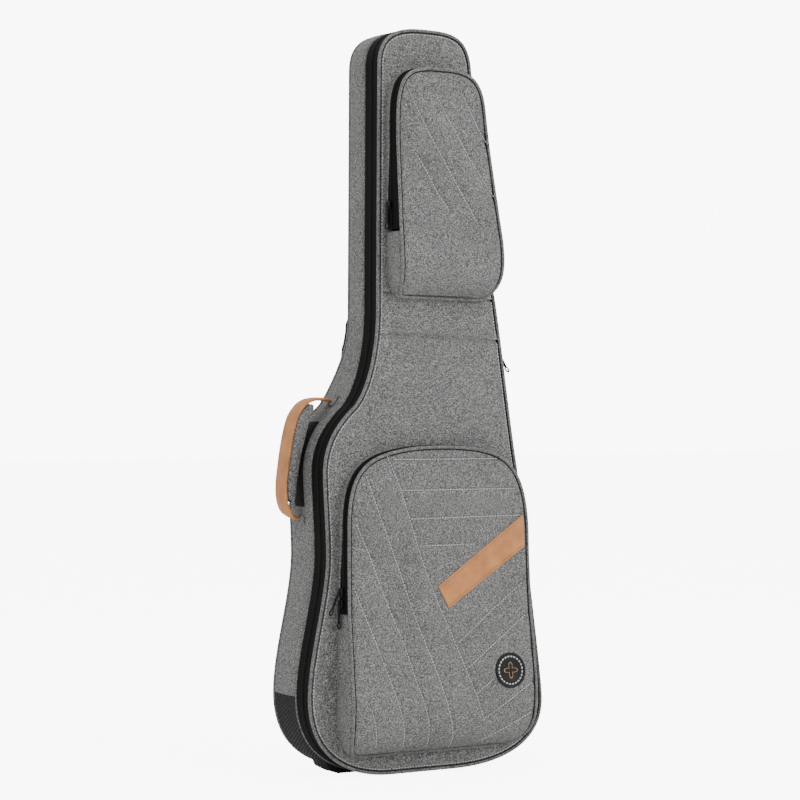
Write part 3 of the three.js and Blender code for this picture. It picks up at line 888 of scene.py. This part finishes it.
def build_pocket_front(pocket):
    prefix, shape = pocket.prefix, pocket.outline
    surface = pocket_surface(shape, pocket.face, pocket.lines)
    front = panel(prefix + "_quilted_front", inset(shape, 4.2), surface, 4.5, 1.9, CLOTH)
    folding(pocket, front, prefix + "_panel", prefix + "_flap")

    thread = stitches(prefix + "_quilt_thread", pocket.lines, lambda x, z: surface(x, z, INSIDE), THREAD)
    folding(pocket, thread)

    edge = cord(prefix + "_piping_cord", shape, lambda z: float(face_y(pocket.face, z)) + 1.6)
    folding(pocket, edge, prefix + "_piping", prefix + "_flap_piping")
    # painted shade: a black cord inside the pocket's piping, standing in for the shadow in its gap
    seam = shade_line_cord(prefix + "_seam_line", shape, lambda z: float(face_y(pocket.face, z)) + 1.0)
    folding(pocket, seam)


def build_pocket_sides(pocket):
    """The cloth wall below the fold, and above it a zip between a base welt and the flap."""
    prefix, shape, fold_z = pocket.prefix, pocket.outline, pocket.fold_z

    def wall_y(z):
        return float(face_y(pocket.face, z)) + 5.2

    def above_fold(point):
        return point[1] >= fold_z - 1

    def wall_section(_, point):
        return rounded_strip(-0.3, -4.4, 2.6, min(wall_y(point[1]), 1.0), 0.5, 8, 1.0)

    low_path, low_normals = stretch(shape, 4.0, lambda point: point[1] < fold_z)
    wall = sweep(prefix + "_side_wall", low_path, low_normals, wall_section, CLOTH, closed=False)
    riding(wall, "lid", "melange_cloth", prefix + "_gusset")

    def welt_section(_, point):
        return [(-1.8 + o, 0.4 + y) for o, y in circle(2.2, 8)]

    path, normals = stretch(shape, 4.0, above_fold)
    welt = sweep(prefix + "_base_welt", path, normals, welt_section, PIPE_CLOTH, closed=False)
    riding(welt, "lid", "melange_cloth")

    inner_span = (lambda z: POCKET_ZIP_Y + 0.4, lambda z: 0.0)
    zip_half(prefix + "_zip_inner", shape, inner_span, POCKET_ZIP_Y + 1.2, -0.7, "lid",
             [prefix + "_zip_inner_tape"], above_fold)

    def cover_section(_, point):
        reach = -4.0 - 7.0 * float(smooth_step(point[1], fold_z + 20, fold_z + 150))
        return rounded_strip(-0.1, -2.6, reach, 0.2, 0.3, 6, 0.6)

    cover = sweep(prefix + "_zip_cover", path, normals, cover_section, CLOTH, closed=False)
    riding(cover, "lid", "melange_cloth")
    zip_half(prefix + "_zip_outer", shape, (wall_y, lambda z: POCKET_ZIP_Y - 0.4), POCKET_ZIP_Y - 1.2,
             -0.7, pocket.flap, [prefix + "_zip_outer_tape"], above_fold)


def build_pocket(pocket):
    build_pocket_front(pocket)
    build_pocket_sides(pocket)


# ------------------------------------------------------------------ leather stripe and patch
STRIPE_THREAD_INSET = 3.2


def build_stripe():
    """The leather band: its edges rolled down to the cloth, and a sewn groove inside each long edge."""
    corners = np.array([(-4, 262), (13, LOWER_FOLD_Z + 2), (142, 313), (140, 359)], float)
    base = pocket_surface(LOWER_POCKET, LOWER_FACE, [])
    s, t = np.meshgrid(np.linspace(0, 1, 71), np.linspace(0, 1, 23), indexing="ij")
    along_low = corners[1] + (corners[2] - corners[1]) * s[..., None]
    along_high = corners[0] + (corners[3] - corners[0]) * s[..., None]
    place = along_low + (along_high - along_low) * t[..., None]
    x, z = place[..., 0], place[..., 1]
    edge = np.minimum(t, 1 - t) * 36
    end = np.minimum(s, 1 - s) * 140
    roll = 1.0 * np.exp(-edge / 1.2) + 0.8 * np.exp(-end / 1.2)
    sewn = 0.5 * np.exp(-((edge - STRIPE_THREAD_INSET) / 1.1) ** 2)
    y = base(x, z, INSIDE) - 1.9 + roll + sewn
    front, rear = (np.stack([x, depth, z], axis=-1) for depth in (y, y + 1.6 - roll))
    stripe = closed_sheet("leather_stripe_band", front, rear, LEATHER)
    riding(stripe, "lower_flap", "leather", "leather_stripe")

    trim = (corners[2] - corners[1]) * 0.02
    across = (corners[0] - corners[1]) / np.linalg.norm(corners[0] - corners[1]) * STRIPE_THREAD_INSET
    low_line = [corners[1] + across + trim, corners[2] + across - trim]
    high_line = [corners[0] - across + trim, corners[3] - across - trim]
    thread = stitches("stripe_thread", [low_line, high_line], lambda x, z: base(x, z, INSIDE) - 1.5,
                      TAN_THREAD, 3.6, 2.6, 0.4)
    riding(thread, "lower_flap", "leather")


BADGE_SPIN = 96
BADGE_DASHES = 24
BADGE_TILT = Matrix.Rotation(-math.atan2(8, 60), 3, "X")  # the pocket leans back by 8 mm in 60
BADGE_PROFILE = (  # radius and height, from the middle of the front to the middle of the back
    (0.0, 0.9), (8, 0.9), (15.4, 0.9), (16.0, 1.5), (16.8, 1.5), (17.4, 0.9), (21.5, 0.9),
    (22.3, 1.9), (23.6, 2.3), (24.8, 1.7), (25.0, 0.6), (25.0, -0.9), (0.0, -0.9),
)


def on_badge(radius, angle, height):
    """A point at a radius, an angle and a height above the middle plane of the badge."""
    low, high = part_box("round_patch")
    local = BADGE_TILT @ Vector((radius * math.cos(angle), -height, radius * math.sin(angle)))
    middle = (low + high) / 2 / MM
    return (middle.x + local.x, middle.y - FRONT_Y + local.y, middle.z + local.z)


def build_patch():
    """A round badge with a raised rim, a dashed ring and a plain four-petal figure in its middle."""
    angles = [2 * math.pi * k / BADGE_SPIN for k in range(BADGE_SPIN)]
    points = [on_badge(radius, a, height) for a in angles for radius, height in BADGE_PROFILE]
    faces = grid_faces(BADGE_SPIN, len(BADGE_PROFILE), close_rows=True)
    patch = finish_mesh("badge_disc", points, faces, RUBBER)
    riding(patch, "lid", "rubber", "round_patch")

    points, faces = [], []
    for k in range(BADGE_DASHES):
        a0, a1 = (2 * math.pi * (k + share) / BADGE_DASHES for share in (0.15, 0.75))
        base = len(points)
        corners = ((18.6, a0), (20.4, a0), (20.4, a1), (18.6, a1))
        points += [on_badge(radius, a, height) for height in (0.9, 1.35) for radius, a in corners]
        faces += [(base, base + 1, base + 2, base + 3), (base + 7, base + 6, base + 5, base + 4)]
        for j in range(4):
            turn = (j + 1) % 4
            faces.append((base + j, base + 4 + j, base + 4 + turn, base + turn))
    dashes = finish_mesh("badge_dashes", points, faces, THREAD, smooth=False)
    riding(dashes, "lid", "melange_cloth")

    points = []
    for a in angles:
        middle = 7.5 + 3.5 * math.cos(4 * a)
        for width, height in ((-0.7, 0.8), (-0.7, 1.7), (0.7, 1.7), (0.7, 0.8)):
            points.append(on_badge(middle + width, a, height))
    ribbon = grid_faces(BADGE_SPIN, 4, close_rows=True, close_columns=True)
    rosette = finish_mesh("badge_rosette", points, ribbon, TAN_THREAD, smooth=False)
    riding(rosette, "lid", "leather")


# ------------------------------------------------------------------ handle
HANDLE_MID_Y = 66.0
HANDLE_HALF = 15.5  # half of the band's full width


def handle_line():
    return np.vstack([
        np.array([(-113, 521.5), (-124, 523.5)]),
        bezier((-124, 523.5), (-158, 528), (-170, 524), (-184, 500), 24),
        bezier((-184, 500), (-192, 482), (-198, 445), (-202, 410), 24),
        bezier((-202, 410), (-204, 375), (-197, 362), (-176, 356.5), 24),
        np.array([(-167, 355)]),
    ])


def build_handle_band():
    """The leather band narrows to its sewn ends, and lies further back there."""
    path, normals = evenly(handle_line(), 2.0, closed=False)
    total = len(path) - 1

    def band_section(i, _):
        from_end = min(i / total, 1 - i / total)
        width = HANDLE_HALF * (0.22 + 0.78 * float(smooth_step(from_end, 0.0, 0.13)))
        middle = HANDLE_MID_Y + 6.0 * (1 - float(smooth_step(from_end, 0.0, 0.16)))
        pairs = []
        for k in range(13):
            t = -1 + 2 * k / 12
            crown = 1.0 * (1 - t * t) - 0.35 * math.exp(-((abs(t) - 0.8) / 0.07) ** 2)
            pairs.append((crown - 1.0 * (abs(t) > 0.99), middle + width * t))
        return pairs + [(-3.4, middle + width * 0.97), (-3.4, middle - width * 0.97)]

    band = sweep("handle_leather_band", path, normals, band_section, LEATHER, closed=False)
    dressed(band, "leather", "handle_band")
    blend_between(band)


def build_handle():
    build_handle_band()
    grip = stuffed("handle_grip", "handle_grip_pad", 3.0, 3.0, 2.0, CLOTH)
    riding(grip, "handle", "melange_cloth", "handle_grip")
    for side in ("upper", "lower"):
        refined(f"handle_tab_{side}", "shell", CLOTH, "melange_cloth", 1.0, 3)
    # the black backing strip under the grip: partly real webbing, partly painted shade standing in for the
    # deep shadow between grip and gusset
    refined("handle_backing", "shell", WEBBING, "webbing", 0.4, 2)


# ------------------------------------------------------------------ straps
def build_straps():
    for side in ("left", "right"):
        body = f"strap_{side}"
        pad = stuffed(f"{body}_pad", f"{body}_cushion", 5.0, 2.5, 2.5, STRAP_CLOTH)
        riding(pad, body, "strap_cloth", f"{body}_pad")
        refined(f"{body}_webbing", body, WEBBING, "webbing", 0.4)
        refined(f"{body}_adjuster", body, PLASTIC, "plastic", 0.8)
        refined(f"{body}_hook", body, HARDWARE, "metal_trim", 0.7)
        refined(f"d_ring_{side}", "shell", HARDWARE, "metal_trim", 0.8)
        refined(f"{body}_anchor", "shell", WEBBING, "webbing", 0.6)
    yoke = refined("strap_yoke", "shell", STRAP_CLOTH, "strap_cloth", 2.5, 4)


def build_hardware():
    """Each slider and each pull is a body of its own, with its node's name."""
    zip_names = ("main_zip_{}_upper", "main_zip_{}_lower", "lower_pocket_{}_upper",
                 "lower_pocket_{}_lower", "upper_pocket_{}")
    for zip_name in zip_names:
        for kind in ("slider", "pull"):
            node = zip_name.format(kind)
            refined(node, node, HARDWARE, "metal_trim", 0.35)
    refined("base_skid", "shell", RUBBER, "rubber", 1.5, 3)


# ------------------------------------------------------------------ stage
VIEW_TURN = math.radians(31.0)
CAMERA_DISTANCE = 3352.0  # mm from the front plane, along the view
CAMERA_SHIFT_X = -47.5  # the view's centre line meets the front plane here
CAMERA_HEIGHT = 529.2
WHITE = (1, 1, 1, 1)
LIGHTS = (  # name, place and size in metres, power in watts
    ("key", (1.6, -3.2, 2.6), 2.0, 100.0),
    ("fill", (-3.0, -2.2, 1.6), 2.4, 22.0),
    ("top", (0.2, 0.4, 3.4), 2.0, 40.0),
)


def build_camera():
    camera_data = bpy.data.cameras.new("camera")
    camera_data.sensor_width = 36.0
    camera_data.lens = 108.0
    camera_data.shift_y = -5.0 / 800
    camera_data.clip_end = 50.0
    camera = bpy.data.objects.new("camera", camera_data)
    bpy.context.scene.collection.objects.link(camera)
    x = -CAMERA_DISTANCE * math.sin(VIEW_TURN) + CAMERA_SHIFT_X
    y = -CAMERA_DISTANCE * math.cos(VIEW_TURN)
    camera.location = to_frame(x, y, CAMERA_HEIGHT)
    camera.rotation_euler = (math.pi / 2, 0, -VIEW_TURN)
    bpy.context.scene.camera = camera


def camera_glow(tree, strength):
    """A strength that only the camera sees, so a bright backdrop throws no extra light on the bag."""
    rays = add(tree, "ShaderNodeLightPath")
    return math_node(tree, "MULTIPLY", rays.outputs["Is Camera Ray"], strength)


def build_floor():
    bpy.ops.mesh.primitive_plane_add(size=30, location=(0, 0, 0))
    floor = bpy.context.object
    floor.name = "studio_floor"
    floor_material, tree, shader = new_material("floor_paint")
    tone = noise_at(tree, (3, 3, 3), 2.0)
    stops = ((0.3, (0.93, 0.93, 0.93)), (0.7, (0.95, 0.95, 0.95)))
    tree.links.new(ramp(tree, tone, stops), shader.inputs["Base Color"])
    tree.links.new(camera_glow(tree, 7.5), shader.inputs["Emission Strength"])
    set_inputs(shader, Roughness=0.9, Emission_Color=WHITE)
    floor.data.materials.append(floor_material)


def build_world():
    world = bpy.data.worlds.new("studio")
    bpy.context.scene.world = world
    world.use_nodes = True
    tree = world.node_tree
    background = tree.nodes["Background"]
    strength = math_node(tree, "ADD", camera_glow(tree, 8.0), 1.15)
    tree.links.new(strength, background.inputs["Strength"])
    set_inputs(background, Color=WHITE)


def build_lights():
    for name, spot, size, power in LIGHTS:
        light_data = bpy.data.lights.new(name, "AREA")
        light_data.size = size
        light_data.energy = power
        light = bpy.data.objects.new(name, light_data)
        bpy.context.scene.collection.objects.link(light)
        light.location = spot
        aim = Vector((0, 0, 0.5)) - Vector(spot)
        light.rotation_euler = aim.to_track_quat("-Z", "Y").to_euler()


def build_stage():
    build_camera()
    build_floor()
    build_world()
    build_lights()


build_stage()
build_shell()
build_guard()
build_back()
build_linings()
build_inner_pads()
build_lid()
build_main_zip()
build_hinge_strip()
for pocket_shape in (
    Pocket("lower_pocket", LOWER_POCKET, LOWER_FACE, quilt_lower(), LOWER_FOLD_Z, "lower_flap", -30),
    Pocket("upper_pocket", UPPER_POCKET, UPPER_FACE, quilt_upper(), UPPER_FOLD_Z, "upper_flap", -39),
):
    build_pocket(pocket_shape)
build_stripe()
build_patch()
build_handle()
build_straps()
build_hardware()
